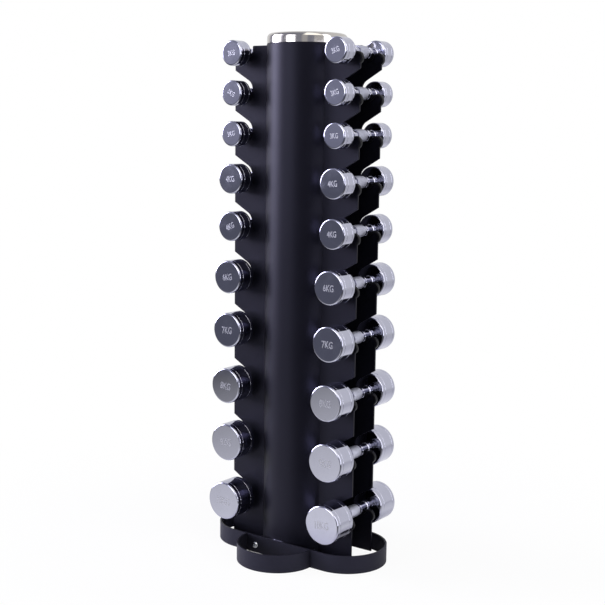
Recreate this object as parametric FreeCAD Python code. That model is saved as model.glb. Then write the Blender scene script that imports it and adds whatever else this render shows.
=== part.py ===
import FreeCAD, Part
import math
import os

# Two-sided dumbbell tower: a round column carries four notched plates, ten tiers a side.
# X runs left to right, Y front to back, Z up; the origin is on the floor under the column's axis.
# All lengths are millimetres, all angles degrees.

# ---- column and cap ----
TUBE_RADIUS = 109.55
TUBE_WALL = 4.0
TUBE_FOOT = 6.0
TUBE_TOP = 1417.5
CAP_RADIUS = 108.8
CAP_RIM = 16.0
CAP_SHOULDER = 12.0
CAP_CROWN = 5.0

# ---- notched plates ----
PLATE_THICKNESS = 5.0
PLATE_INNER_Y = 48.0
PLATE_EDGE_X = 206.7
PLATE_TOP = 1415.0
PLATE_FOOT = 20.0
PLATE_ROOT_X = 90.0
SHOULDER_RADIUS = 4.0

# ---- tiers: height of the top handle's axis, then the drop to each next one ----
AXIS_X = 170.7
TOP_AXIS_Z = 1393.5
TIER_PITCH = (107.0, 110.0, 123.0, 131.0, 140.5, 150.0, 158.0, 164.0, 169.5)

# ---- notch, measured from the handle's axis ----
FIN_RISE = 62.7
FIN_SLOPE = 30.0
THROAT_DEPTH = 24.6
THROAT_RADIUS = 28.0
SEAT_SLOPE = 45.0
SEAT_CLEARANCE = 0.5
NOSE_RADIUS = 17.0
NOSE_OUT = 26.5
NOSE_CROWN_ANGLE = 20.0

# ---- dumbbells: marked weight of each tier, then head diameter and length for each weight ----
TIER_WEIGHTS = (3, 3, 3, 4, 4, 6, 7, 8, 9, 10)
HEAD_SIZES = {
    3: (69.0, 45.0),
    4: (82.0, 49.0),
    6: (92.0, 60.0),
    7: (97.0, 61.0),
    8: (99.5, 67.0),
    9: (105.5, 65.0),
    10: (107.5, 75.0),
}
HEAD_INNER_Y = 70.0
HANDLE_RADIUS = 13.5

# ---- base of flat bar ----
BAR_THICKNESS = 5.0
BAR_HEIGHT = 50.0
RING_CENTRE_X = 154.0
HOOP_RADIUS = 113.0
BOLT_X = 78.5
BOLT_Z = 21.5
BOLT_RADIUS = 5.0
BOLT_LENGTH = 25.0
BOLT_HEAD_RADIUS = 9.5
BOLT_HEAD_HEIGHT = 5.5
HOLE_RADIUS = 5.4
LUG_SIDE = 25.0

SEAT_RADIUS = HANDLE_RADIUS + SEAT_CLEARANCE
RING_INNER = TUBE_RADIUS
RING_OUTER = RING_INNER + BAR_THICKNESS
X_AXIS = FreeCAD.Vector(1, 0, 0)
Y_AXIS = FreeCAD.Vector(0, 1, 0)
Z_AXIS = FreeCAD.Vector(0, 0, 1)
ORIGIN = FreeCAD.Vector(0, 0, 0)


def vec(x, y, z):
    return FreeCAD.Vector(x, y, z)


def save(name, shape):
    """Write one named piece, after checking that it is closed and valid."""
    for solid in shape.Solids:
        if not solid.isValid() or solid.Volume <= 0:
            raise RuntimeError(f"{name} holds a bad solid")
    shape.exportStep(os.path.join("parts", f"{name}.step"))


def tier_heights():
    heights = [TOP_AXIS_Z]
    for drop in TIER_PITCH:
        heights.append(heights[-1] - drop)
    return heights


def mirrored_x(shape):
    return shape.mirror(ORIGIN, X_AXIS)


def mirrored_y(shape):
    return shape.mirror(ORIGIN, Y_AXIS)


# ---- notched plate, drawn in the XZ plane ----
def straight(start, end):
    return Part.LineSegment(start, end).toShape()


def rounded_path(corners):
    """Edges through corners (x, z, radius); each inner corner is rounded by a tangent arc."""
    points = [vec(x, 0, z) for x, z, radius in corners]
    edges = []
    last = points[0]
    for index in range(1, len(corners) - 1):
        here = points[index]
        radius = corners[index][2]
        if radius > 0:
            back = (points[index - 1] - here).normalize()
            onward = (points[index + 1] - here).normalize()
            half_angle = back.getAngle(onward) / 2
            reach = radius / math.tan(half_angle)
            start = here + back * reach
            end = here + onward * reach
            bisector = (back + onward).normalize()
            middle = here + bisector * (radius / math.sin(half_angle) - radius)
            edges.append(straight(last, start))
            edges.append(Part.Arc(start, middle, end).toShape())
            last = end
        else:
            edges.append(straight(last, here))
            last = here
    edges.append(straight(last, points[-1]))
    return edges


def nose_centre(axis_z):
    """Centre of the rounded nose, placed so that the seat's outer flank runs tangent into it."""
    slope = math.radians(SEAT_SLOPE)
    drop = (SEAT_RADIUS + NOSE_RADIUS) / math.cos(slope) - NOSE_OUT * math.tan(slope)
    return AXIS_X + NOSE_OUT, axis_z - drop


def on_nose(axis_z, angle):
    """Point of the nose's circle at an angle from +X."""
    centre_x, centre_z = nose_centre(axis_z)
    turn = math.radians(angle)
    return vec(centre_x + NOSE_RADIUS * math.cos(turn), 0, centre_z + NOSE_RADIUS * math.sin(turn))


def nose_arc(axis_z):
    """The nose from the seat's flank over its crown and back in to the plate's outer edge."""
    edge_cosine = (PLATE_EDGE_X - AXIS_X - NOSE_OUT) / NOSE_RADIUS
    start = on_nose(axis_z, 90.0 + SEAT_SLOPE)
    crown = on_nose(axis_z, NOSE_CROWN_ANGLE)
    foot = on_nose(axis_z, -math.degrees(math.acos(edge_cosine)))
    return Part.Arc(start, crown, foot)


def plate_outline():
    """Closed outline of a right-hand plate, from its top shoulder down past ten notches to its foot."""
    wall_x = AXIS_X - THROAT_DEPTH
    throat_fall = (PLATE_EDGE_X - wall_x) * math.tan(math.radians(FIN_SLOPE))
    apex_drop = SEAT_RADIUS / math.cos(math.radians(SEAT_SLOPE))
    flank_rise = THROAT_DEPTH * math.tan(math.radians(SEAT_SLOPE))
    edges = []
    section = [(PLATE_ROOT_X, PLATE_TOP, 0), (wall_x, PLATE_TOP, SHOULDER_RADIUS)]
    for axis_z in tier_heights():
        if edges:
            section.append((PLATE_EDGE_X, axis_z + FIN_RISE, 0))
            section.append((wall_x, axis_z + FIN_RISE - throat_fall, THROAT_RADIUS))
        nose = nose_arc(axis_z)
        section.append((wall_x, axis_z - apex_drop + flank_rise, 0))
        section.append((AXIS_X, axis_z - apex_drop, SEAT_RADIUS))
        section.append((nose.StartPoint.x, nose.StartPoint.z, 0))
        edges += rounded_path(section)
        edges.append(nose.toShape())
        section = [(nose.EndPoint.x, nose.EndPoint.z, 0)]
    section += [(PLATE_EDGE_X, PLATE_FOOT, 0), (PLATE_ROOT_X, PLATE_FOOT, 0), (PLATE_ROOT_X, PLATE_TOP, 0)]
    return edges + rounded_path(section)


def side_plate(inner_y):
    """Right-hand plate from inner_y outward, its root cut to the column it is welded to."""
    face = Part.Face(Part.Wire(Part.__sortEdges__(plate_outline())))
    face.translate(vec(0, inner_y, 0))
    slab = face.extrude(vec(0, math.copysign(PLATE_THICKNESS, inner_y), 0))
    return slab.cut(Part.makeCylinder(TUBE_RADIUS, PLATE_TOP))


# ---- rack pieces ----
def column_tube():
    outer = Part.makeCylinder(TUBE_RADIUS, TUBE_TOP - TUBE_FOOT, vec(0, 0, TUBE_FOOT))
    inner = Part.makeCylinder(TUBE_RADIUS - TUBE_WALL, TUBE_TOP - TUBE_FOOT, vec(0, 0, TUBE_FOOT))
    return outer.cut(inner)


def top_cap():
    """Spun cap on the tube's end: upright rim, a shoulder in two flats and a shallow crown."""
    shoulder_x = CAP_RADIUS - CAP_SHOULDER
    half_turn = CAP_SHOULDER * math.cos(math.radians(45.0))
    section = [
        (0, 0),
        (CAP_RADIUS, 0),
        (CAP_RADIUS, CAP_RIM),
        (shoulder_x + half_turn, CAP_RIM + half_turn),
        (shoulder_x, CAP_RIM + CAP_SHOULDER),
        (0, CAP_RIM + CAP_SHOULDER + CAP_CROWN),
    ]
    points = [vec(x, 0, TUBE_TOP + z) for x, z in section]
    face = Part.Face(Part.makePolygon(points + points[:1]))
    return face.revolve(ORIGIN, Z_AXIS, 360)


def obround(radius, height):
    """Solid with straight sides and round ends, long in X, standing on the floor."""
    bar = Part.makeBox(2 * RING_CENTRE_X, 2 * radius, height, vec(-RING_CENTRE_X, -radius, 0))
    ends = [Part.makeCylinder(radius, height, vec(side * RING_CENTRE_X, 0, 0)) for side in (-1, 1)]
    return bar.multiFuse(ends).removeSplitter()


def bolt_seats():
    """Where the four base bolts enter: (x, side), side -1 in front and 1 behind."""
    return [(x, side) for side in (-1, 1) for x in (-BOLT_X, BOLT_X)]


def rod_y(radius, x, z, near_y, far_y):
    """Cylinder along Y between two depths."""
    low = min(near_y, far_y)
    return Part.makeCylinder(radius, abs(far_y - near_y), vec(x, low, z), Y_AXIS)


def base_ring():
    """Flat bar bent on edge to an obround that touches the column in front and behind."""
    ring = obround(RING_OUTER, BAR_HEIGHT).cut(obround(RING_INNER, BAR_HEIGHT))
    holes = [rod_y(HOLE_RADIUS, x, BOLT_Z, side * RING_INNER, side * RING_OUTER) for x, side in bolt_seats()]
    return ring.cut(Part.makeCompound(holes))


def front_hoop():
    """Half hoop of the same bar, its two ends welded square to the ring's front side."""
    centre = vec(0, -RING_OUTER, 0)
    outer = Part.makeCylinder(HOOP_RADIUS, BAR_HEIGHT, centre)
    inner = Part.makeCylinder(HOOP_RADIUS - BAR_THICKNESS, BAR_HEIGHT, centre)
    back = Part.makeBox(2 * HOOP_RADIUS, HOOP_RADIUS, BAR_HEIGHT, vec(-HOOP_RADIUS, -RING_OUTER, 0))
    return outer.cut(inner).cut(back)


def bolt_lugs():
    """Four drilled square lugs that fill the gap between the ring's bar and the column."""
    column = Part.makeCylinder(TUBE_RADIUS, TUBE_TOP)
    lugs = []
    for x, side in bolt_seats():
        low = min(side * RING_INNER, side * PLATE_INNER_Y)
        corner = vec(x - LUG_SIDE / 2, low, BOLT_Z - LUG_SIDE / 2)
        block = Part.makeBox(LUG_SIDE, RING_INNER - PLATE_INNER_Y, LUG_SIDE, corner)
        hole = rod_y(HOLE_RADIUS, x, BOLT_Z, side * RING_INNER, side * (RING_OUTER - BOLT_LENGTH))
        lugs += block.cut(column).cut(hole).Solids
    return Part.makeCompound(lugs)


def base_bolts():
    """Four bolts driven from outside through the ring's bar into the lugs."""
    bolts = []
    for x, side in bolt_seats():
        seat = side * RING_OUTER
        head = rod_y(BOLT_HEAD_RADIUS, x, BOLT_Z, seat, seat + side * BOLT_HEAD_HEIGHT)
        shank = rod_y(BOLT_RADIUS, x, BOLT_Z, seat, seat - side * BOLT_LENGTH)
        bolts.append(head.fuse(shank))
    return Part.makeCompound(bolts)


# ---- dumbbells ----
def dumbbell_handle(x, z):
    """Round bar between the heads, at the size of its necks, which lie in the plates' seats."""
    return rod_y(HANDLE_RADIUS, x, z, -HEAD_INNER_Y, HEAD_INNER_Y)


def dumbbell_heads(weight, x, z):
    """Both round heads of one dumbbell."""
    diameter, length = HEAD_SIZES[weight]
    back = rod_y(diameter / 2, x, z, HEAD_INNER_Y, HEAD_INNER_Y + length)
    return Part.makeCompound([mirrored_y(back), back])


def build_rack():
    save("column_tube", column_tube())
    save("top_cap", top_cap())
    for row, side in (("front", -1), ("back", 1)):
        plate = side_plate(side * PLATE_INNER_Y)
        save(f"plate_{row}_right", plate)
        save(f"plate_{row}_left", mirrored_x(plate))
    hoop = front_hoop()
    save("base_ring", base_ring())
    save("hoop_front", hoop)
    save("hoop_back", mirrored_y(hoop))
    save("bolt_lugs", bolt_lugs())
    save("base_bolts", base_bolts())


def build_dumbbells():
    for side, x in (("right", AXIS_X), ("left", -AXIS_X)):
        for tier, (z, weight) in enumerate(zip(tier_heights(), TIER_WEIGHTS), start=1):
            save(f"dumbbell_{side}_{tier:02d}_handle", dumbbell_handle(x, z))
            save(f"dumbbell_{side}_{tier:02d}_heads", dumbbell_heads(weight, x, z))


os.makedirs("parts", exist_ok=True)
build_rack()
build_dumbbells()
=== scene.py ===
import math
import random

import bmesh
import bpy
from bpy.props import FloatProperty, FloatVectorProperty, IntProperty, PointerProperty
from mathutils import Matrix, Vector


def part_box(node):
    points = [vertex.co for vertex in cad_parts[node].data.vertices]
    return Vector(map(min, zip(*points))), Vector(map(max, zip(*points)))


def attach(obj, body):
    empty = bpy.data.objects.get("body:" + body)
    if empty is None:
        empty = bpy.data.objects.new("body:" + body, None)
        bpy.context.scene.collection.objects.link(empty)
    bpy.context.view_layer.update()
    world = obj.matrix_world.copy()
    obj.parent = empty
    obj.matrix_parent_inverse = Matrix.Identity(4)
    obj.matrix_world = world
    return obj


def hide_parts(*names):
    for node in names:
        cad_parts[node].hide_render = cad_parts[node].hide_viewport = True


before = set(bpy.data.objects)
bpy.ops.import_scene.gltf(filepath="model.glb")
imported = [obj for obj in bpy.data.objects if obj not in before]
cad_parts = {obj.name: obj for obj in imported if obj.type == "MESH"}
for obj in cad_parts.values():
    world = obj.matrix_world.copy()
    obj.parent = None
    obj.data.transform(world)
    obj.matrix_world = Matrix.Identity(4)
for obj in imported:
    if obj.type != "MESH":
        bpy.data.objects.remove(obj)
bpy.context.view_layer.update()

bl_info = {
    "name": "Dumbbell tower looks",
    "version": (1, 0, 0),
    "blender": (4, 5, 0),
    "location": "View3D > Sidebar > Dumbbell tower",
    "description": "Dresses a loaded dumbbell tower: powder coat, chrome heads, knurled handles and edging",
    "category": "Object",
}

MM = 0.001
RIGHT_TURN = math.pi / 2
SIDES = ("right", "left")
ROWS = {"front": -1, "back": 1}
TIERS = range(1, 11)
WEIGHTS = (3, 3, 3, 4, 4, 6, 7, 8, 9, 10)
UNIT = "KG"
RACK = "rack"

# ---- places read from the frame ----
TUBE_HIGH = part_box("column_tube")[1]
CAP_LOW, CAP_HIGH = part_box("top_cap")
RING_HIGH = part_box("base_ring")[1]
HOOP_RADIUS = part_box("hoop_front")[1].x
BOLTS_LOW, BOLTS_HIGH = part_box("base_bolts")
HANDLE_LOW, HANDLE_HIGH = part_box("dumbbell_right_01_handle")
PLATE_LOW, PLATE_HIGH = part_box("plate_back_right")
NECK_RADIUS = (HANDLE_HIGH.x - HANDLE_LOW.x) / 2

# ---- the plates' notch, measured from the handle's axis ----
SEAT_RADIUS = NECK_RADIUS + 0.5 * MM
NOSE_RADIUS = 17.0 * MM
NOSE_CENTRE = Vector((26.5, -17.341)) * MM
EDGING_START = 9.0 * MM  # up the inner flank from the seat's round foot

# ---- coated copies of CAD nodes ----
MERGE = 0.01 * MM
FINE_MERGE = 0.002 * MM  # well below the height of a stamped stroke
FLAT = math.radians(0.5)  # edges that bend less than this are dissolved
BAR_EDGE = 0.6 * MM
PLATE_EDGE = 0.5 * MM

# ---- cap ----
CAP_RIM = 16.0 * MM
CAP_SHOULDER = 12.0 * MM
CAP_CHAMFER = 1.0 * MM

# ---- base bolts and weld beads ----
BOLT_HEAD_RADIUS = 9.5 * MM
BOLT_HEAD_HEIGHT = 5.5 * MM
SOCKET_REACH = 3.0 * MM
SOCKET_FLOOR = 2.4 * MM
HEAD_DRAFT = 0.97  # share of the bolt head's radius at its seat
HEAD_RIM = 0.7 * MM
BEAD_LENGTH = 40.0 * MM
BEAD_RADIUS = 3.2 * MM
BEAD_WAVER = 0.3 * MM
BEAD_OUT, BEAD_UP = 1.4 * MM, 0.4 * MM  # from the tube's side and the ring's top

# ---- dumbbells ----
HEAD_HOLD = 0.4 * MM  # flat run beside a rounding, which keeps the shading of the flat faces flat
GROOVE_SLOPE = math.radians(45.0)
MARK_SWELL = 0.018  # growth of the strokes' outline, as a share of the text's size
NARROW_ONE = 0.6  # share of a character's width that a 1 saves
# Half a handle in millimetres: (distance from the middle, radius) of the core in the grip, the raised ring,
# the neck and the collar that runs up to the head.
HALF_HANDLE = (
    (21.0, 13.0), (21.0, 14.0), (30.8, 14.0),
    (31.0, 14.8), (31.8, 15.6), (39.2, 15.6), (40.0, 14.8),
    (40.2, 13.3), (60.2, 13.3),
    (61.0, 13.9), (62.0, 14.7), (63.8, 15.3), (66.0, 15.5), (68.2, 15.3),
)
COLLAR_END_RADIUS = 14.2 * MM
COLLAR_DEPTH = 1.0 * MM  # how far the handle runs on inside the head
# Degrees by which each dumbbell lies turned in its seat, from the top tier down.
MARK_TURNS = {
    "right": (18.0, 16.0, 4.0, 6.0, 3.0, 0.0, 0.0, 2.0, -3.0, 4.0),
    "left": (8.0, -30.0, 12.0, 4.0, 24.0, 10.0, 2.0, -4.0, 6.0, -2.0),
}

# ---- stage ----
CAMERA_PLACE = Vector((1.9077, -2.6484, 1.2142))
CAMERA_TURN, CAMERA_DROP, CAMERA_ROLL = 35.9, 8.72, 0.70  # degrees
CAMERA_SHIFT = (0.0018, -0.0007)
SENSOR_WIDTH = 36.0  # millimetres
# Strength of the floor's plain white for mirrored rays: at the base, lost per metre outward and sideways, and
# the least that is left in front and behind.
BASE_WHITE, LOSS_OUT, LOSS_SIDEWAYS = 1.1, 0.1, 0.4
FRONT_WHITE, BACK_WHITE = 0.13, 0.58
RIGHT_FRONT_LOSS = 0.8
FAR_BACK_LOSS = 0.3
# Shares of plain white for mirrored rays behind the tower, in the ground and in the wall.
GROUND_WHITE, WALL_WHITE = 0.64, 0.76
WHITE = (1.0, 1.0, 1.0, 1.0)


def dumbbell(side, tier):
    return f"dumbbell_{side}_{tier:02d}"


def handle_axis(side, tier):
    """Point on a dumbbell's axis, midway between its heads."""
    low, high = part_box(f"{dumbbell(side, tier)}_handle")
    return (low + high) / 2


# ------------------------------------------------------------------ node graphs
class Wire:
    """An output socket that takes Python's arithmetic; each sign adds one Math node."""

    def __init__(self, graph, socket):
        self.graph = graph
        self.socket = socket

    def __add__(self, other):
        return self.graph.math("ADD", self, other)

    def __sub__(self, other):
        return self.graph.math("SUBTRACT", self, other)

    def __mul__(self, other):
        return self.graph.math("MULTIPLY", self, other)

    def __rsub__(self, other):
        return self.graph.math("SUBTRACT", other, self)

    __radd__ = __add__
    __rmul__ = __mul__


class Graph:
    """Adds nodes to one tree, of a material, the world or a Geometry Nodes modifier."""

    def __init__(self, tree):
        self.tree = tree

    def node(self, kind, settings=None, inputs=None, output=0):
        """Adds a node: first its settings, then a value or a Wire for each named or numbered socket."""
        made = self.tree.nodes.new(kind)
        for name, value in (settings or {}).items():
            setattr(made, name, value)
        for key, value in (inputs or {}).items():
            if isinstance(value, Wire):
                self.tree.links.new(value.socket, made.inputs[key])
            else:
                made.inputs[key].default_value = value
        return Wire(self, made.outputs[output])

    def sink(self, kind, socket, wire):
        """Adds a node that only takes something in, such as a tree's output, and links it."""
        self.tree.links.new(wire.socket, self.tree.nodes.new(kind).inputs[socket])

    def math(self, operation, *operands):
        return self.node("ShaderNodeMath", {"operation": operation}, dict(enumerate(operands)))

    def vector(self, operation, *operands):
        return self.node("ShaderNodeVectorMath", {"operation": operation}, dict(enumerate(operands)))

    def length(self, vector):
        return self.node("ShaderNodeVectorMath", {"operation": "LENGTH"}, {0: vector}, "Value")

    def place(self):
        """Place on the object in metres."""
        return self.node("ShaderNodeTexCoord", output="Object")

    def parts(self, vector):
        """The three numbers of a vector, as Wires."""
        made = self.node("ShaderNodeSeparateXYZ", None, {0: vector}).socket.node
        return [Wire(self, socket) for socket in made.outputs]

    def joined(self, x, y, z):
        return self.node("ShaderNodeCombineXYZ", None, {0: x, 1: y, 2: z})

    def smooth(self, value, low, high):
        """0 below low, 1 above high and a smooth step between."""
        inputs = {"Value": value, "From Min": low, "From Max": high}
        return self.node("ShaderNodeMapRange", {"interpolation_type": "SMOOTHSTEP"}, inputs)

    def window(self, value, low, high, soft):
        """1 between low and high, falling to 0 over a soft edge on each side."""
        rising = self.smooth(value, low - soft, low + soft)
        return rising * (1 - self.smooth(value, high - soft, high + soft))

    def noise(self, place, scale, detail, roughness=0.5):
        inputs = {"Vector": place, "Scale": scale, "Detail": detail, "Roughness": roughness}
        return self.node("ShaderNodeTexNoise", None, inputs)

    def mix(self, factor, first, second):
        """Blend of two colours, each a Wire or a colour."""
        return self.node("ShaderNodeMix", {"data_type": "RGBA"}, {0: factor, 6: first, 7: second}, 2)

    def bump(self, height, distance, strength):
        inputs = {"Height": height, "Distance": distance, "Strength": strength}
        return self.node("ShaderNodeBump", None, inputs)

    def rays(self, *kinds):
        """One Wire for each kind of ray, 1 for rays of that kind."""
        path = self.node("ShaderNodeLightPath").socket.node
        return [Wire(self, path.outputs[f"Is {kind} Ray"]) for kind in kinds]


def rgba(colour, share=1.0):
    """The colour made lighter or darker by a share, with full alpha."""
    return (*[part * share for part in colour], 1.0)


def finish_material(name, metallic, build, **constants):
    """Principled material; build(graph) gives its varying sockets, constants go on the shader's own."""
    material = bpy.data.materials.new(name)
    material.use_nodes = True
    graph = Graph(material.node_tree)
    shader = material.node_tree.nodes["Principled BSDF"]
    shader.inputs["Metallic"].default_value = metallic
    for socket, value in constants.items():
        shader.inputs[socket.replace("_", " ")].default_value = value
    for socket, wire in build(graph).items():
        graph.tree.links.new(wire.socket, shader.inputs[socket])
    return material


def ready(maker):
    """The material of a maker, made the first time that a piece asks for it."""
    return bpy.data.materials.get(maker.__name__) or maker(maker.__name__)


# ------------------------------------------------------------------ finishes
def powder_finish(name, colour, roughness, shine):
    """Satin powder coat: fine orange peel, faint dust and a slightly uneven gloss."""
    tint = bpy.context.scene.tower_finish.coat_tint

    def build(graph):
        place = graph.place()
        cloud = graph.noise(place, scale=5.0, detail=4.0)
        peel = graph.noise(place, scale=620.0, detail=2.0)
        speck = graph.smooth(graph.noise(place, scale=240.0, detail=3.0), low=0.70, high=0.78)
        tone = graph.mix(cloud, rgba(colour, 0.75), rgba(colour, 1.3))
        return {
            "Base Color": graph.mix(speck * 0.35, tone, rgba(colour, 3.0)),
            "Roughness": cloud * 0.10 + peel * 0.06 + (roughness - 0.08),
            "Normal": graph.bump(peel, distance=0.12 * MM, strength=0.35),
        }

    return finish_material(name, 0.0, build, Specular_IOR_Level=shine, Specular_Tint=rgba(tint))


def satin_powder_coat(name):
    looks = bpy.context.scene.tower_finish
    return powder_finish(name, looks.coat_colour, looks.coat_roughness, looks.coat_shine)


def base_powder_coat(name):
    looks = bpy.context.scene.tower_finish
    return powder_finish(name, looks.base_colour, looks.coat_roughness + 0.04, looks.coat_shine)


def weld_coat(name):
    """The same coat on a weld's wavy surface, where it lies thinner and glossier."""
    looks = bpy.context.scene.tower_finish
    return powder_finish(name, looks.base_colour, roughness=0.26, shine=0.8)


def bright_finish(name, colour, roughness):
    """Bright plating over turned steel: fine tool rings along the profile and light smears of handling."""

    def build(graph):
        along = graph.node("ShaderNodeUVMap", {"uv_map": "turned"})
        stretched = graph.vector("MULTIPLY", along, (1.0, 2600.0, 1.0))
        place = graph.place()
        rings = graph.noise(stretched, scale=1.0, detail=1.0)
        smear = graph.noise(place, scale=28.0, detail=4.0, roughness=0.6)
        return {
            "Base Color": graph.mix(smear, rgba(colour, 0.93), rgba(colour, 1.05)),
            "Roughness": graph.smooth(smear, low=0.45, high=0.8) * 0.08 + rings * 0.03 + roughness,
            "Normal": graph.bump(rings, distance=0.004 * MM, strength=0.5),
        }

    return finish_material(name, 1.0, build)


def bright_chrome(name):
    looks = bpy.context.scene.tower_finish
    return bright_finish(name, looks.chrome_colour, looks.chrome_roughness)


def warm_chrome(name):
    looks = bpy.context.scene.tower_finish
    return bright_finish(name, looks.cap_colour, looks.chrome_roughness + 0.04)


def knurled_plating(name):
    """Matt plating over the knurl, with random patches of darker grime."""
    colour = bpy.context.scene.tower_finish.knurl_colour

    def build(graph):
        place = graph.place()
        grime = graph.noise(place, scale=90.0, detail=4.0, roughness=0.6)
        grain = graph.noise(place, scale=1500.0, detail=2.0)
        return {
            "Base Color": graph.mix(grime, rgba(colour, 0.8), rgba(colour, 1.12)),
            "Roughness": grime * 0.12 + 0.42,
            "Normal": graph.bump(grain, distance=0.03 * MM, strength=0.4),
        }

    return finish_material(name, 1.0, build)


def stamped_strokes(name):
    """Rough strokes of the stamped weight."""
    colour = bpy.context.scene.tower_finish.mark_colour

    def build(graph):
        place = graph.place()
        grain = graph.noise(place, scale=700.0, detail=3.0)
        return {
            "Base Color": graph.mix(grain, rgba(colour, 0.8), rgba(colour, 1.15)),
            "Roughness": grain * 0.1 + 0.30,
            "Normal": graph.bump(grain, distance=0.06 * MM, strength=0.5),
        }

    return finish_material(name, 0.9, build)


def moulded_edging(name):
    """Matt black moulding with a fine spark texture and a few rubbed patches."""
    colour = bpy.context.scene.tower_finish.edging_colour

    def build(graph):
        place = graph.place()
        spark = graph.noise(place, scale=1400.0, detail=2.0)
        rub = graph.smooth(graph.noise(place, scale=60.0, detail=3.0), low=0.5, high=0.75)
        return {
            "Base Color": graph.mix(rub, rgba(colour), rgba(colour, 1.6)),
            "Roughness": spark * 0.1 - rub * 0.1 + 0.32,
            "Normal": graph.bump(spark, distance=0.05 * MM, strength=0.5),
        }

    return finish_material(name, 0.0, build, Specular_IOR_Level=0.2)


def bright_zinc(name):
    """Bright zinc on the bolts, with the plating's faint bloom."""
    colour = bpy.context.scene.tower_finish.zinc_colour

    def build(graph):
        place = graph.place()
        bloom = graph.noise(place, scale=160.0, detail=3.0)
        frost = graph.noise(place, scale=900.0, detail=2.0)
        return {
            "Base Color": graph.mix(bloom, rgba(colour, 0.85), rgba(colour, 1.1)),
            "Roughness": bloom * 0.2 + 0.14,
            "Normal": graph.bump(frost, distance=0.02 * MM, strength=0.4),
        }

    return finish_material(name, 1.0, build)


def studio_floor(name):
    """White floor that keeps the tower's shadow and fades to the background's plain white.

    Camera rays see the plain white at full strength. Mirrored rays see it dimmer with distance and toward
    the right front, and see more of the lit floor close to the base and far behind the tower. Inside the
    hoops only the lit floor shows.
    """
    stage = bpy.context.scene.tower_stage
    material = bpy.data.materials.new(name)
    material.use_nodes = True
    graph = Graph(material.node_tree)
    graph.tree.nodes.clear()
    place = graph.place()
    grain = graph.noise(place, scale=6.0, detail=3.0)
    colour = graph.mix(grain, rgba(stage.floor_colour, 0.985), rgba(stage.floor_colour))
    matt = graph.node("ShaderNodeBsdfDiffuse", None, {"Color": colour})
    reach = graph.length(place)
    across, deep, _ = graph.parts(place)
    seen, mirrored, through = graph.rays("Camera", "Glossy", "Transmission")
    # strength of the plain white
    near_light = BASE_WHITE - reach * LOSS_OUT - graph.math("ABSOLUTE", across) * LOSS_SIDEWAYS
    far_light = graph.smooth(deep, low=-0.3, high=0.3) * (BACK_WHITE - FRONT_WHITE) + FRONT_WHITE
    right_front = graph.smooth(across, low=0.0, high=0.35) * (1.0 - graph.smooth(deep, low=-0.3, high=0.05))
    light = graph.math("MAXIMUM", near_light, far_light) * (1.0 - right_front * RIGHT_FRONT_LOSS)
    strength = seen + (1.0 - seen) * light
    white = graph.node("ShaderNodeVectorMath", {"operation": "SCALE"}, {0: WHITE[:3], 3: strength})
    plain = graph.node("ShaderNodeEmission", None, {"Color": white, "Strength": 1.0})
    # share of the plain white over the lit floor
    fill = graph.smooth(reach, low=0.35, high=1.5) * (1.0 - stage.floor_fill) + stage.floor_fill
    behind = 1.0 - graph.smooth(deep, low=0.2, high=0.9) * FAR_BACK_LOSS
    beside = graph.smooth(reach, low=0.28, high=0.55) * behind * mirrored + (1.0 - mirrored)
    past_ring = graph.math("MAXIMUM", graph.math("ABSOLUTE", deep) - RING_HIGH.y, 0.0)
    from_hoop = graph.length(graph.joined(across, past_ring, 0.0))
    outside_hoop = graph.smooth(from_hoop, low=HOOP_RADIUS - 15.0 * MM, high=HOOP_RADIUS - 3.0 * MM)
    shown = graph.math("MINIMUM", seen + mirrored + through, 1.0)
    share = shown * beside * outside_hoop * fill
    shader = graph.node("ShaderNodeMixShader", None, {0: share, 1: matt, 2: plain})
    graph.sink("ShaderNodeOutputMaterial", "Surface", shader)
    return material


# ------------------------------------------------------------------ mesh making
def linked(name, mesh):
    made = bpy.data.objects.new(name, mesh)
    bpy.context.scene.collection.objects.link(made)
    return made


def mesh_from(name, bm, materials, sharp_angle=30.0):
    """Ends a bmesh as a named mesh, faces outward, smooth except across sharp edges."""
    bmesh.ops.recalc_face_normals(bm, faces=bm.faces[:])
    mesh = bpy.data.meshes.new(name)
    bm.to_mesh(mesh)
    bm.free()
    mesh.shade_smooth()
    mesh.set_sharp_from_angle(angle=math.radians(sharp_angle))
    for material in materials:
        mesh.materials.append(material)
    return mesh


def round_turns(count):
    """Angles of evenly spaced points on a circle."""
    return [math.tau * step / count for step in range(count)]


def add_turned(bm, profile, place, segments):
    """Adds a closed body turned about place's Z axis, from (distance, radius) pairs that start and end at 0.

    The UV map "turned" holds the share of a turn and the length along the profile in metres.
    """
    layer = bm.loops.layers.uv.get("turned") or bm.loops.layers.uv.new("turned")
    lengths = [0.0]
    for (y0, r0), (y1, r1) in zip(profile, profile[1:]):
        lengths.append(lengths[-1] + math.hypot(y1 - y0, r1 - r0))
    rings = []
    for along, radius in profile:
        turns = round_turns(segments) if radius > 0 else [0.0]
        points = [Vector((radius * math.cos(turn), radius * math.sin(turn), along)) for turn in turns]
        rings.append([bm.verts.new(place @ point) for point in points])
    for index in range(len(profile) - 1):
        for step in range(segments):
            corners = []
            for end, ring in ((0, rings[index]), (1, rings[index + 1])):
                pair = [(ring[0], step)]
                if len(ring) > 1:
                    pair = [(ring[step], step), (ring[step + 1 - segments], step + 1)]
                corners += [(vertex, turn, end) for vertex, turn in (reversed(pair) if end else pair)]
            face = bm.faces.new([vertex for vertex, turn, end in corners])
            for loop, (vertex, turn, end) in zip(face.loops, corners):
                loop[layer].uv = (turn / segments, lengths[index + end])


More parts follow.
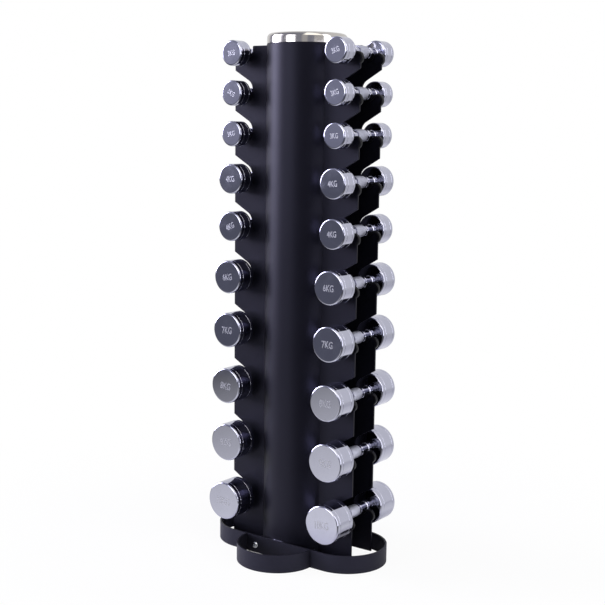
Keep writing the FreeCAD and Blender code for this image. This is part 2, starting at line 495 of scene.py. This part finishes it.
def skinned(name, bm, rings, sharp_angle=30.0):
    """Ends a bmesh as a mesh, its rings of vertices joined in order and closed at both ends."""
    around = len(rings[0])
    for near, far in zip(rings, rings[1:]):
        for step in range(around):
            after = (step + 1) % around
            bm.faces.new((near[step], near[after], far[after], far[step]))
    bm.faces.new(rings[0])
    bm.faces.new(rings[-1])
    return mesh_from(name, bm, [], sharp_angle)


def add_mesh(bm, mesh, place):
    """Moves a mesh into a bmesh at a place, as faces of the second material, and removes it."""
    mesh.transform(place)
    first = len(bm.faces)
    bm.from_mesh(mesh)
    bm.faces.ensure_lookup_table()
    for face in bm.faces[first:]:
        face.material_index = 1
    bpy.data.meshes.remove(mesh)


def arc_points(centre, radius, start, end, steps):
    """Points of an arc between two angles in degrees."""
    turns = [math.radians(start + (end - start) * step / steps) for step in range(steps + 1)]
    return [(centre[0] + radius * math.cos(turn), centre[1] + radius * math.sin(turn)) for turn in turns]


def evaluated_mesh(made):
    """New mesh of an object as its modifiers or its text make it."""
    return bpy.data.meshes.new_from_object(made.evaluated_get(bpy.context.evaluated_depsgraph_get()))


def applied(made):
    """Gives an object the mesh that its modifiers make, and removes them."""
    mesh = evaluated_mesh(made)
    made.modifiers.clear()
    made.data = mesh
    return made


def seat_piece(made, body, slot, *nodes):
    """Tells the frame what the piece rides on and hides the nodes that it stands for; slot, the name of its
    finish, is not used.
    """
    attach(made, body)
    if nodes:
        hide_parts(*nodes)


def dressed_copy(node, name, material, slot, edge):
    """A merged copy of a CAD node with softened edges, standing for that node."""
    bm = bmesh.new()
    bm.from_mesh(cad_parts[node].data)
    bmesh.ops.remove_doubles(bm, verts=bm.verts[:], dist=MERGE)
    bmesh.ops.dissolve_limit(bm, angle_limit=FLAT, verts=bm.verts[:], edges=bm.edges[:])
    sharp_angle = 35.0
    made = linked(name, mesh_from(name, bm, [material], sharp_angle))
    bevel = made.modifiers.new("softened edges", "BEVEL")
    bevel.width = edge
    bevel.segments = 2
    bevel.limit_method = "ANGLE"
    bevel.angle_limit = math.radians(sharp_angle)
    bevel.harden_normals = True
    applied(made)
    seat_piece(made, RACK, slot, node)


# ------------------------------------------------------------------ Geometry Nodes
class Grower:
    """A geometry tree with named inputs, which grows a mesh for a piece."""

    def __init__(self, name, **sockets):
        self.tree = bpy.data.node_groups.new(name, "GeometryNodeTree")
        for label, kind in sockets.items():
            self.tree.interface.new_socket(label, in_out="INPUT", socket_type=f"NodeSocket{kind}")
        self.tree.interface.new_socket("Geometry", in_out="OUTPUT", socket_type="NodeSocketGeometry")
        self.graph = Graph(self.tree)
        source = self.tree.nodes.new("NodeGroupInput")
        self.wires = {label: Wire(self.graph, source.outputs[label]) for label in sockets}

    def close(self, geometry):
        """Ends the tree in real geometry with its material."""
        real = self.graph.node("GeometryNodeRealizeInstances", None, {0: geometry})
        material = self.wires["Material"]
        painted = self.graph.node("GeometryNodeSetMaterial", None, {"Geometry": real, "Material": material})
        self.graph.sink("NodeGroupOutput", 0, painted)

    def grow(self, name, mesh, **values):
        """A plain object grown from a start mesh with the tree's named inputs set."""
        made = linked(name, mesh)
        modifier = made.modifiers.new(self.tree.name, "NODES")
        modifier.node_group = self.tree
        for item in self.tree.interface.items_tree:
            if item.in_out == "INPUT" and item.name in values:
                modifier[item.identifier] = values[item.name]
        return applied(made)


def copier():
    """Tree that sets one object on every point, turned by the point's attribute."""
    grower = Grower("Pieces on points", Geometry="Geometry", Piece="Object", Material="Material")
    graph = grower.graph
    piece = graph.node("GeometryNodeObjectInfo", None, {"Object": grower.wires["Piece"]}, "Geometry")
    turn = graph.node("GeometryNodeInputNamedAttribute", {"data_type": "FLOAT_VECTOR"}, {"Name": "turn"})
    inputs = {"Points": grower.wires["Geometry"], "Instance": piece, "Rotation": turn}
    grower.close(graph.node("GeometryNodeInstanceOnPoints", None, inputs))
    return grower


def points_mesh(name, places, turns):
    """Loose points, each with the turn of the piece that goes there."""
    mesh = bpy.data.meshes.new(name)
    mesh.from_pydata(places, [], [])
    turn = mesh.attributes.new("turn", "FLOAT_VECTOR", "POINT")
    turn.data.foreach_set("vector", [part for row in turns for part in row])
    return mesh


def set_on_points(name, pattern_mesh, places, turns, material):
    """One object that holds a copy of the pattern at every place."""
    pattern = linked(f"{name}_pattern", pattern_mesh)
    grower = copier()
    made = grower.grow(name, points_mesh(name, places, turns), Piece=pattern, Material=material)
    bpy.data.objects.remove(pattern)
    made.data.shade_smooth()
    made.data.set_sharp_from_angle(angle=math.radians(30.0))
    return made


def knurl_grower():
    """Tree for a knurled sleeve about Z: a closed, swelled tube whose surface rises in small diamonds."""
    grower = Grower(
        "Knurled sleeve",
        Geometry="Geometry",
        Around="Int",
        Along="Int",
        Length="Float",
        Middle="Float",
        End="Float",
        Relief="Float",
        Material="Material",
    )
    graph = grower.graph
    wires = grower.wires
    inputs = {"Vertices X": wires["Around"] + 1, "Vertices Y": wires["Along"], "Size X": 1.0, "Size Y": 1.0}
    grid = graph.node("GeometryNodeMeshGrid", None, inputs)
    x, y, _ = graph.parts(graph.node("GeometryNodeInputPosition"))
    column = graph.math("ROUND", (x + 0.5) * wires["Around"])
    row = graph.math("ROUND", (y + 0.5) * (wires["Along"] - 1))
    peak = graph.math("MODULO", column + row, 2.0)
    reach = graph.math("ABSOLUTE", y * 2.0)
    swell = wires["Middle"] - (wires["Middle"] - wires["End"]) * reach * reach
    open_row = graph.math("LESS_THAN", reach, 0.999)  # 0 in the end rows, which close on the axis
    knurled_row = graph.math("LESS_THAN", reach, 0.95)  # 0 in the plain band at each end
    radius = (swell + (peak - 0.5) * wires["Relief"] * knurled_row) * open_row
    turn = (x + 0.5) * math.tau
    across, up = radius * graph.math("COSINE", turn), radius * graph.math("SINE", turn)
    place = graph.joined(across, up, y * wires["Length"])
    shaped = graph.node("GeometryNodeSetPosition", None, {"Geometry": grid, "Position": place})
    grower.close(graph.node("GeometryNodeMergeByDistance", None, {"Geometry": shaped, "Distance": MERGE}))
    return grower


# ------------------------------------------------------------------ settings
def colour_setting(name, description, default):
    return FloatVectorProperty(
        name=name, description=description, subtype="COLOR", default=default, min=0.0, max=1.0
    )


def share_setting(name, description, default, low=0.0, high=1.0):
    return FloatProperty(
        name=name, description=description, subtype="FACTOR", default=default, min=low, max=high
    )


def length_setting(name, description, default, low, high):
    """Length setting from a default and limits in millimetres."""
    sizes = {"default": default * MM, "min": low * MM, "max": high * MM}
    return FloatProperty(name=name, description=description, unit="LENGTH", **sizes)


def count_setting(name, description, default, low, high):
    return IntProperty(name=name, description=description, default=default, min=low, max=high)


class TOWER_PG_finish(bpy.types.PropertyGroup):
    """Colours and gloss of the finishes."""

    coat_colour: colour_setting("Powder coat", "Colour of the column and plates", (0.003, 0.003, 0.0055))
    coat_roughness: share_setting("Coat roughness", "Roughness of the powder coat", 0.42)
    coat_shine: share_setting("Coat shine", "Strength of the powder coat's reflection", 0.25)
    coat_tint: colour_setting("Coat tint", "Colour of the powder coat's reflection", (0.72, 0.71, 1.0))
    base_colour: colour_setting("Base coat", "Colour of the base's bars", (0.010, 0.010, 0.015))
    chrome_colour: colour_setting("Chrome", "Colour of the heads' plating", (0.52, 0.525, 0.63))
    chrome_roughness: share_setting("Chrome roughness", "Roughness of clean plating", 0.06)
    cap_colour: colour_setting("Cap chrome", "Colour of the cap's plating", (0.60, 0.575, 0.54))
    knurl_colour: colour_setting("Knurl", "Colour of the knurled grips", (0.66, 0.67, 0.79))
    mark_colour: colour_setting("Marks", "Colour of the stamped weights", (0.44, 0.445, 0.49))
    edging_colour: colour_setting("Edging", "Colour of the moulded edging", (0.004, 0.004, 0.006))
    zinc_colour: colour_setting("Zinc", "Colour of the bolts", (0.66, 0.68, 0.70))


class TOWER_PG_heads(bpy.types.PropertyGroup):
    """Sizes of the turned details on every head."""

    segments: count_setting("Segments", "Faces around a head", 128, 32, 256)
    inner_round: length_setting("Inner rounding", "Radius of the edge beside the handle", 4.5, 1.0, 10.0)
    outer_round: length_setting("Outer rounding", "Radius of the edge round the outer face", 4.4, 1.0, 10.0)
    groove_width: length_setting("Groove width", "Width of the two turned grooves", 2.2, 0.5, 5.0)
    outer_groove: length_setting("Outer groove", "Distance of a groove from the outer face", 13.5, 6.0, 20.0)
    inner_groove: share_setting(
        "Inner groove", "Place of the other groove, as a share of the length", 0.235, 0.1, 0.5
    )
    mark_height: share_setting(
        "Mark height", "Height of the stamped weight, as a share of the diameter", 0.20, 0.05, 0.5
    )
    mark_width: share_setting("Mark width", "Width of one character, as a share of its height", 0.60, 0.3, 1.0)
    mark_relief: length_setting("Mark relief", "How far the strokes stand out", 0.25, 0.05, 1.0)


class TOWER_PG_handles(bpy.types.PropertyGroup):
    """Sizes of the swelled and knurled grips."""

    grip_middle: length_setting("Grip middle", "Radius of the grip halfway along", 17.25, 14.0, 20.0)
    grip_end: length_setting("Grip end", "Radius of the grip at its ends", 16.2, 13.0, 18.0)
    grip_length: length_setting("Grip length", "Length of the knurled grip", 42.8, 30.0, 90.0)
    knurl_around: count_setting("Knurls around", "Points around the grip", 120, 24, 240)
    knurl_along: count_setting("Knurls along", "Rows along the grip", 47, 9, 161)
    knurl_relief: length_setting("Knurl relief", "Height of the diamonds", 0.6, 0.1, 2.0)


class TOWER_PG_edging(bpy.types.PropertyGroup):
    """Section of the moulded edging in the notches."""

    width: length_setting("Width", "Width of the edging across the plate's edge", 10.0, 6.0, 16.0)
    depth: length_setting("Depth", "How far the edging reaches down the plate's sides", 6.0, 2.0, 9.0)
    corner: length_setting("Corner", "Radius of the edging's outer corners", 1.6, 0.2, 3.0)
    proud: length_setting("Proud", "How far the edging stands out of the plate's outline", 0.3, 0.1, 0.45)


class TOWER_PG_stage(bpy.types.PropertyGroup):
    """The floor and the camera."""

    floor_colour: colour_setting("Floor", "Colour of the floor", (0.92, 0.92, 0.93))
    floor_radius: length_setting("Floor radius", "Radius of the round floor", 2600.0, 1000.0, 10000.0)
    floor_fill: share_setting("Floor fill", "Share of plain white in the floor beside the tower", 0.93)
    lens: FloatProperty(
        name="Lens", description="Focal length", unit="CAMERA", default=70.39, min=10.0, max=300.0
    )


# ------------------------------------------------------------------ rack
class TOWER_OT_column(bpy.types.Operator):
    """Dress the column in satin powder coat"""

    bl_idname = "tower.column"
    bl_label = "Column"

    def execute(self, context):
        dressed_copy("column_tube", "coated_column", ready(satin_powder_coat), "powder_coat", BAR_EDGE)
        return {"FINISHED"}


class TOWER_OT_plates(bpy.types.Operator):
    """Dress the four notched plates, with softened cut edges"""

    bl_idname = "tower.plates"
    bl_label = "Notched plates"

    def execute(self, context):
        coat = ready(satin_powder_coat)
        for row in ROWS:
            for side in SIDES:
                plate = f"plate_{row}_{side}"
                dressed_copy(plate, f"coated_{plate}", coat, "powder_coat", PLATE_EDGE)
        return {"FINISHED"}


class TOWER_OT_base(bpy.types.Operator):
    """Dress the base's ring, hoops and lugs"""

    bl_idname = "tower.base"
    bl_label = "Base"

    def execute(self, context):
        for node in ("base_ring", "hoop_front", "hoop_back", "bolt_lugs"):
            dressed_copy(node, f"coated_{node}", ready(base_powder_coat), "base_coat", BAR_EDGE)
        return {"FINISHED"}


class TOWER_OT_cap(bpy.types.Operator):
    """Turn the bright cap with its rolled shoulder and shallow crown"""

    bl_idname = "tower.cap"
    bl_label = "Cap"

    def execute(self, context):
        radius = CAP_HIGH.x
        profile = [(0.0, 0.0), (0.0, radius - CAP_CHAMFER), (0.8 * CAP_CHAMFER, radius)]
        profile += [(CAP_RIM / 2, radius), (CAP_RIM, radius)]
        shoulder = arc_points((radius - CAP_SHOULDER, CAP_RIM), CAP_SHOULDER, 0.0, 78.0, steps=12)
        profile += [(up, across) for across, up in shoulder[1:]]
        edge_height, edge_radius = profile[-1]
        rise = CAP_HIGH.z - CAP_LOW.z - edge_height
        crown_steps = 16
        for step in range(1, crown_steps + 1):
            inward = 1.0 - step / crown_steps
            profile.append((edge_height + rise * (1.0 - inward**2), edge_radius * inward))
        bm = bmesh.new()
        add_turned(bm, profile, Matrix.Translation((0.0, 0.0, CAP_LOW.z)), segments=192)
        made = linked("turned_cap", mesh_from("turned_cap", bm, [ready(warm_chrome)], sharp_angle=40.0))
        seat_piece(made, RACK, "polished_cap", "top_cap")
        return {"FINISHED"}


def button_head():
    """Round bolt head with a hexagon socket, seat at Z 0 and crown upward."""
    bm = bmesh.new()
    turns = round_turns(48)
    profile = [(0.0, BOLT_HEAD_RADIUS * HEAD_DRAFT), (HEAD_RIM, BOLT_HEAD_RADIUS)]
    dome = arc_points((0.0, 0.0), 1.0, 12.0, 62.0, steps=7)
    profile += [(BOLT_HEAD_HEIGHT * up, BOLT_HEAD_RADIUS * across) for across, up in dome]
    rings = []
    for along, radius in profile:
        rings.append([bm.verts.new((radius * math.cos(t), radius * math.sin(t), along)) for t in turns])
    side = math.tau / 6  # turn of one side of the hexagon
    for along, reach in ((profile[-1][0], SOCKET_REACH), (SOCKET_FLOOR, SOCKET_REACH * 0.98)):
        ring = []
        for turn in turns:
            radius = reach / math.cos((turn + side / 2) % side - side / 2)
            ring.append(bm.verts.new((radius * math.cos(turn), radius * math.sin(turn), along)))
        rings.append(ring)
    return skinned("button_head", bm, rings)


class TOWER_OT_bolts(bpy.types.Operator):
    """Set the four bright button-head bolts in the base ring"""

    bl_idname = "tower.bolts"
    bl_label = "Base bolts"

    def execute(self, context):
        reach = BOLTS_HIGH.x - BOLT_HEAD_RADIUS
        height = (BOLTS_LOW.z + BOLTS_HIGH.z) / 2
        seat = BOLTS_HIGH.y - BOLT_HEAD_HEIGHT
        places = [(x, way * seat, height) for way in (-1, 1) for x in (-reach, reach)]
        turns = [(-way * RIGHT_TURN, 0.0, 0.0) for way in (-1, 1) for x in (-reach, reach)]
        made = set_on_points("socket_bolts", button_head(), places, turns, ready(bright_zinc))
        seat_piece(made, RACK, "zinc_bolt", "base_bolts")
        return {"FINISHED"}


def bead_mesh(steps, seed):
    """Lumpy closed weld bead along X about the origin."""
    rough = random.Random(seed)
    turns = round_turns(12)
    bm = bmesh.new()
    rings = []
    for step in range(steps + 1):
        share = step / steps
        blunt_end = math.sqrt(max(1.0 - (2.0 * share - 1.0) ** 6, 0.05))
        swell = BEAD_RADIUS * blunt_end * rough.uniform(0.82, 1.12)
        waver = [rough.uniform(-BEAD_WAVER, BEAD_WAVER) for _ in range(2)]
        centre = Vector((BEAD_LENGTH * (share - 0.5), *waver))
        ring = [centre + Vector((0.0, swell * math.cos(turn), swell * math.sin(turn))) for turn in turns]
        rings.append([bm.verts.new(point) for point in ring])
    return skinned("ring_bead", bm, rings, sharp_angle=80.0)


class TOWER_OT_welds(bpy.types.Operator):
    """Lay the weld beads that hold the base ring to the column"""

    bl_idname = "tower.welds"
    bl_label = "Weld beads"

    def execute(self, context):
        depth = TUBE_HIGH.y + BEAD_OUT
        places = [(0.0, way * depth, RING_HIGH.z + BEAD_UP) for way in (-1, 1)]
        turns = [(0.0, 0.0, 0.0)] * len(places)
        bead = bead_mesh(steps=14, seed=3)
        made = set_on_points("ring_welds", bead, places, turns, ready(weld_coat))
        seat_piece(made, RACK, "base_coat")
        return {"FINISHED"}


def notch_path():
    """Points and air-side directions, in XZ from the handle's axis, along a notch's seat and nose."""

    def pointing(degrees):
        return Vector((math.cos(math.radians(degrees)), math.sin(math.radians(degrees))))

    seat_start = pointing(225) * SEAT_RADIUS
    path = []
    for share in (1.0, 0.5):
        path.append((seat_start + pointing(135) * EDGING_START * share, pointing(45)))
    for degrees in range(225, 316, 10):
        path.append((pointing(degrees) * SEAT_RADIUS, -pointing(degrees)))
    for degrees in range(135, -56, -10):
        path.append((NOSE_CENTRE + pointing(degrees) * NOSE_RADIUS, pointing(degrees)))
    return path


def edging_mesh():
    """One notch's edging for a right-hand plate, swept along the seat and nose, about the handle's axis."""
    looks = bpy.context.scene.tower_edging
    half = looks.width / 2
    corner = (half - looks.corner, looks.proud - looks.corner)
    section = arc_points(corner, looks.corner, 0.0, 90.0, steps=3)
    section += [(-across, up) for across, up in reversed(section)]
    low = looks.proud - looks.depth
    section += [(-half, low), (half, low)]
    bm = bmesh.new()
    rings = []
    for point, air in notch_path():
        ring = []
        for across, up in section:
            flat = point + air * up
            ring.append(bm.verts.new((flat.x, across, flat.y)))
        rings.append(ring)
    return skinned("notch_edging", bm, rings)


class TOWER_OT_edging(bpy.types.Operator):
    """Fit the black moulded edging in the forty notches"""

    bl_idname = "tower.edging"
    bl_label = "Notch edging"

    def execute(self, context):
        middle = (PLATE_LOW.y + PLATE_HIGH.y) / 2
        for row, way in ROWS.items():
            for side in SIDES:
                places = []
                for tier in TIERS:
                    axis = handle_axis(side, tier)
                    places.append((axis.x, way * middle, axis.z))
                turns = [(0.0, 0.0, 0.0 if side == "right" else math.pi)] * len(places)
                name = f"notch_edging_{row}_{side}"
                made = set_on_points(name, edging_mesh(), places, turns, ready(moulded_edging))
                seat_piece(made, RACK, "black_edging")
        return {"FINISHED"}


# ------------------------------------------------------------------ dumbbells
def head_profile(near, far, radius):
    """(distance, radius) pairs of a head from its inner end to its outer face, closed on the axis."""
    looks = bpy.context.scene.tower_heads
    bend = looks.groove_width / 2 / math.sin(GROOVE_SLOPE)
    inner, outer = looks.inner_round, looks.outer_round
    profile = [(near, 0.0), (near, radius - inner)]
    for across, along in arc_points((radius - inner, 0.0), inner, 90.0, 0.0, steps=6)[1:]:
        profile.append((near + inner - along, across))
    profile.append((near + inner + HEAD_HOLD, radius))
    for place in (near + (far - near) * looks.inner_groove, far - looks.outer_groove):
        centre = (place, radius + bend * math.cos(GROOVE_SLOPE))
        profile += arc_points(centre, bend, 225.0, 315.0, steps=6)
    profile.append((far - outer - HEAD_HOLD, radius))
    for across, along in arc_points((radius - outer, far - outer), outer, 0.0, 90.0, steps=8):
        profile.append((along, across))
    profile += [(far, radius - outer - HEAD_HOLD), (far, 0.0)]
    return profile


def mark_mesh(words, height, turn):
    """Stamped weight in the XY plane, centred on the origin and turned by an angle in degrees."""
    looks = bpy.context.scene.tower_heads
    curve = bpy.data.curves.new("mark", "FONT")
    curve.body = words
    curve.align_x = "CENTER"
    curve.align_y = "CENTER"
    curve.extrude = looks.mark_relief / height
    curve.offset = MARK_SWELL
    curve.resolution_u = 4
    holder = linked("mark", curve)
    mesh = evaluated_mesh(holder)
    bpy.data.objects.remove(holder)
    across = [vertex.co.x for vertex in mesh.vertices]
    up = [vertex.co.y for vertex in mesh.vertices]
    middle = Vector(((min(across) + max(across)) / 2, (min(up) + max(up)) / 2, 0.0))
    characters = len(words) - NARROW_ONE * words.count("1")
    width = looks.mark_width * height * characters
    stretch = (width / (max(across) - min(across)), height / (max(up) - min(up)), height, 1.0)
    fitted = Matrix.Diagonal(stretch)
    mesh.transform(Matrix.Rotation(math.radians(turn), 4, "Z") @ fitted @ Matrix.Translation(-middle))
    return mesh


def facing(centre, way):
    """Frame at a point whose Z axis looks to the front, way -1, or to the back, way 1, with X kept level."""
    level = Matrix.Rotation(RIGHT_TURN, 4, "X")
    if way > 0:
        level = Matrix.Rotation(math.pi, 4, "Z") @ level
    return Matrix.Translation(centre) @ level


class TOWER_OT_heads(bpy.types.Operator):
    """Turn the chrome heads of all dumbbells and stamp their weights"""

    bl_idname = "tower.heads"
    bl_label = "Chrome heads"

    def execute(self, context):
        looks = context.scene.tower_heads
        for side in SIDES:
            for tier in TIERS:
                self.make(looks, side, tier)
        return {"FINISHED"}

    def make(self, looks, side, tier):
        node = f"{dumbbell(side, tier)}_heads"
        low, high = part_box(node)
        radius = (high.x - low.x) / 2
        centre = Vector(((low.x + high.x) / 2, 0.0, (low.z + high.z) / 2))
        profile = head_profile(HANDLE_HIGH.y, high.y, radius)
        bm = bmesh.new()
        for way in (-1, 1):
            add_turned(bm, profile, facing(centre, way), looks.segments)
        bmesh.ops.recalc_face_normals(bm, faces=bm.faces[:])
        turn = MARK_TURNS[side][tier - 1]
        words = f"{WEIGHTS[tier - 1]}{UNIT}"
        for way in (-1, 1):
            mark = mark_mesh(words, 2 * radius * looks.mark_height, turn if way < 0 else -turn)
            add_mesh(bm, mark, facing(centre + Vector((0.0, way * high.y, 0.0)), way))
        bmesh.ops.remove_doubles(bm, verts=bm.verts[:], dist=FINE_MERGE)
        name = f"chrome_heads_{side}_{tier:02d}"
        finishes = [ready(bright_chrome), ready(stamped_strokes)]
        made = linked(name, mesh_from(name, bm, finishes, sharp_angle=20.0))
        seat_piece(made, dumbbell(side, tier), "chrome_head", node)


def handle_profile(reach):
    """(distance, radius) pairs along a handle between its heads, with two raised rings at each end."""
    there = [(along * MM, radius * MM) for along, radius in HALF_HANDLE]
    there += [(reach + COLLAR_DEPTH, COLLAR_END_RADIUS), (reach + COLLAR_DEPTH, 0.0)]
    return [(-along, radius) for along, radius in reversed(there)] + there


class TOWER_OT_handles(bpy.types.Operator):
    """Turn the handles with their rings and knurled grips"""

    bl_idname = "tower.handles"
    bl_label = "Knurled handles"

    def execute(self, context):
        looks = context.scene.tower_handles
        start = bpy.data.meshes.new("grip_start")
        grip = knurl_grower().grow(
            "grip",
            start,
            Around=looks.knurl_around,
            Along=looks.knurl_along,
            Length=looks.grip_length,
            Middle=looks.grip_middle,
            End=looks.grip_end,
            Relief=looks.knurl_relief,
            Material=ready(knurled_plating),
        )
        for side in SIDES:
            for tier in TIERS:
                self.make(grip.data, side, tier)
        bpy.data.objects.remove(grip)
        return {"FINISHED"}

    def make(self, grip, side, tier):
        place = facing(handle_axis(side, tier), 1)
        bm = bmesh.new()
        add_turned(bm, handle_profile(HANDLE_HIGH.y), place, segments=64)
        add_mesh(bm, grip.copy(), place)
        name = f"turned_handle_{side}_{tier:02d}"
        finishes = [ready(bright_chrome), ready(knurled_plating)]
        made = linked(name, mesh_from(name, bm, finishes, sharp_angle=25.0))
        seat_piece(made, dumbbell(side, tier), "knurled_steel", f"{dumbbell(side, tier)}_handle")


# ------------------------------------------------------------------ stage
# Panels of light and shade round the room: from and to azimuth, from and to elevation, soft edge, colour.
# Azimuth is in degrees from the front towards the right, elevation in degrees above the object's middle.
# A later panel covers an earlier one where they cross.
ROOM_SHADE = (0.29, 0.295, 0.36)
ROOM_PANELS = {
    "ground": (-190.0, 190.0, -95.0, -1.9, 1.2, (0.125, 0.13, 0.16)),
    "far left strip": (-100.0, -81.0, -2.0, 2.0, 1.5, (4.0, 3.9, 4.8)),
    "left fringe": (-56.0, -44.0, -1.5, 32.0, 6.0, (1.9, 1.85, 2.2)),
    "left light": (-79.5, -52.0, -1.5, 32.0, 2.5, (12.6, 12.3, 15.1)),
    "front light": (-25.5, -0.5, -0.5, 24.0, 1.5, (5.0, 5.0, 5.4)),
    "camera side": (20.0, 36.0, -2.0, 30.0, 2.0, (0.52, 0.51, 0.53)),
    "right strip": (55.0, 84.0, -8.0, 1.5, 2.0, (2.8, 2.8, 2.95)),
    "right wall": (55.0, 84.0, 2.5, 30.0, 1.0, (0.56, 0.55, 0.56)),
    "right light": (85.0, 105.0, -0.5, 42.0, 2.0, (4.6, 4.6, 4.85)),
    "ceiling": (25.0, 84.0, 26.0, 90.0, 5.0, (2.0, 1.95, 1.85)),
}


class TOWER_OT_stage(bpy.types.Operator):
    """Set the floor, the room of light round it and the camera"""

    bl_idname = "tower.stage"
    bl_label = "Stage"

    def execute(self, context):
        self.lay_floor(context.scene)
        self.light_room(context.scene)
        self.place_camera(context.scene)
        context.scene.view_settings.view_transform = "Standard"
        return {"FINISHED"}

    def lay_floor(self, scene):
        bm = bmesh.new()
        bmesh.ops.create_circle(bm, cap_ends=True, segments=128, radius=scene.tower_stage.floor_radius)
        floor = linked("studio_floor", mesh_from("studio_floor", bm, [ready(studio_floor)]))
        if floor.data.polygons[0].normal.z < 0:
            floor.data.flip_normals()

    def light_room(self, scene):
        scene.world = bpy.data.worlds.new("studio_room")
        scene.world.use_nodes = True
        graph = Graph(scene.world.node_tree)
        graph.tree.nodes.clear()
        x, y, z = graph.parts(graph.node("ShaderNodeTexCoord", output="Generated"))
        azimuth = graph.math("ARCTAN2", x, 0.0 - y) * math.degrees(1.0)
        elevation = graph.math("ARCSINE", z) * math.degrees(1.0)
        colour = ROOM_SHADE + (1.0,)
        for left, right, low, high, soft, tint in ROOM_PANELS.values():
            mask = graph.window(azimuth, left, right, soft) * graph.window(elevation, low, high, soft)
            colour = graph.mix(mask, colour, tint + (1.0,))
        seen, mirrored, through = graph.rays("Camera", "Glossy", "Transmission")
        behind = graph.smooth(graph.math("ABSOLUTE", azimuth), low=88.0, high=112.0)
        pale = graph.smooth(elevation, low=-10.0, high=-4.0) * (WALL_WHITE - GROUND_WHITE) + GROUND_WHITE
        share = graph.math("MINIMUM", seen + through + mirrored * behind * pale, 1.0)
        shown = graph.mix(share, colour, WHITE)
        light = graph.node("ShaderNodeBackground", None, {"Color": shown, "Strength": 1.0})
        graph.sink("ShaderNodeOutputWorld", "Surface", light)

    def place_camera(self, scene):
        camera = bpy.data.cameras.new("studio_camera")
        camera.lens = scene.tower_stage.lens
        camera.sensor_width = SENSOR_WIDTH
        camera.shift_x, camera.shift_y = CAMERA_SHIFT
        holder = linked("studio_camera", camera)
        turn = Matrix.Rotation(math.radians(CAMERA_TURN), 4, "Z")
        tilt = Matrix.Rotation(math.radians(90.0 - CAMERA_DROP), 4, "X")
        roll = Matrix.Rotation(math.radians(CAMERA_ROLL), 4, "Z")
        holder.matrix_world = Matrix.Translation(CAMERA_PLACE) @ turn @ tilt @ roll
        scene.camera = holder


# ------------------------------------------------------------------ add-on
GROUPS = {
    "tower_finish": TOWER_PG_finish,
    "tower_heads": TOWER_PG_heads,
    "tower_handles": TOWER_PG_handles,
    "tower_edging": TOWER_PG_edging,
    "tower_stage": TOWER_PG_stage,
}
STEPS = (
    TOWER_OT_stage,
    TOWER_OT_column,
    TOWER_OT_plates,
    TOWER_OT_base,
    TOWER_OT_cap,
    TOWER_OT_bolts,
    TOWER_OT_welds,
    TOWER_OT_edging,
    TOWER_OT_heads,
    TOWER_OT_handles,
)


class TOWER_PT_panel(bpy.types.Panel):
    """Settings and steps of the dumbbell tower"""

    bl_idname = "TOWER_PT_panel"
    bl_label = "Dumbbell tower"
    bl_space_type = "VIEW_3D"
    bl_region_type = "UI"
    bl_category = "Dumbbell tower"

    def draw(self, context):
        for name, group in GROUPS.items():
            box = self.layout.box()
            box.label(text=group.__doc__)
            for setting in group.__annotations__:
                box.prop(getattr(context.scene, name), setting)
        for step in STEPS:
            self.layout.operator(step.bl_idname)


def register():
    for made in (*GROUPS.values(), *STEPS, TOWER_PT_panel):
        bpy.utils.register_class(made)
    for name, group in GROUPS.items():
        setattr(bpy.types.Scene, name, PointerProperty(type=group))


def unregister():
    for name in GROUPS:
        delattr(bpy.types.Scene, name)
    for made in (TOWER_PT_panel, *reversed(STEPS), *reversed(GROUPS.values())):
        bpy.utils.unregister_class(made)


def main():
    register()
    for step in STEPS:
        group, name = step.bl_idname.split(".")
        getattr(getattr(bpy.ops, group), name)()


if __name__ == "__main__":
    main()
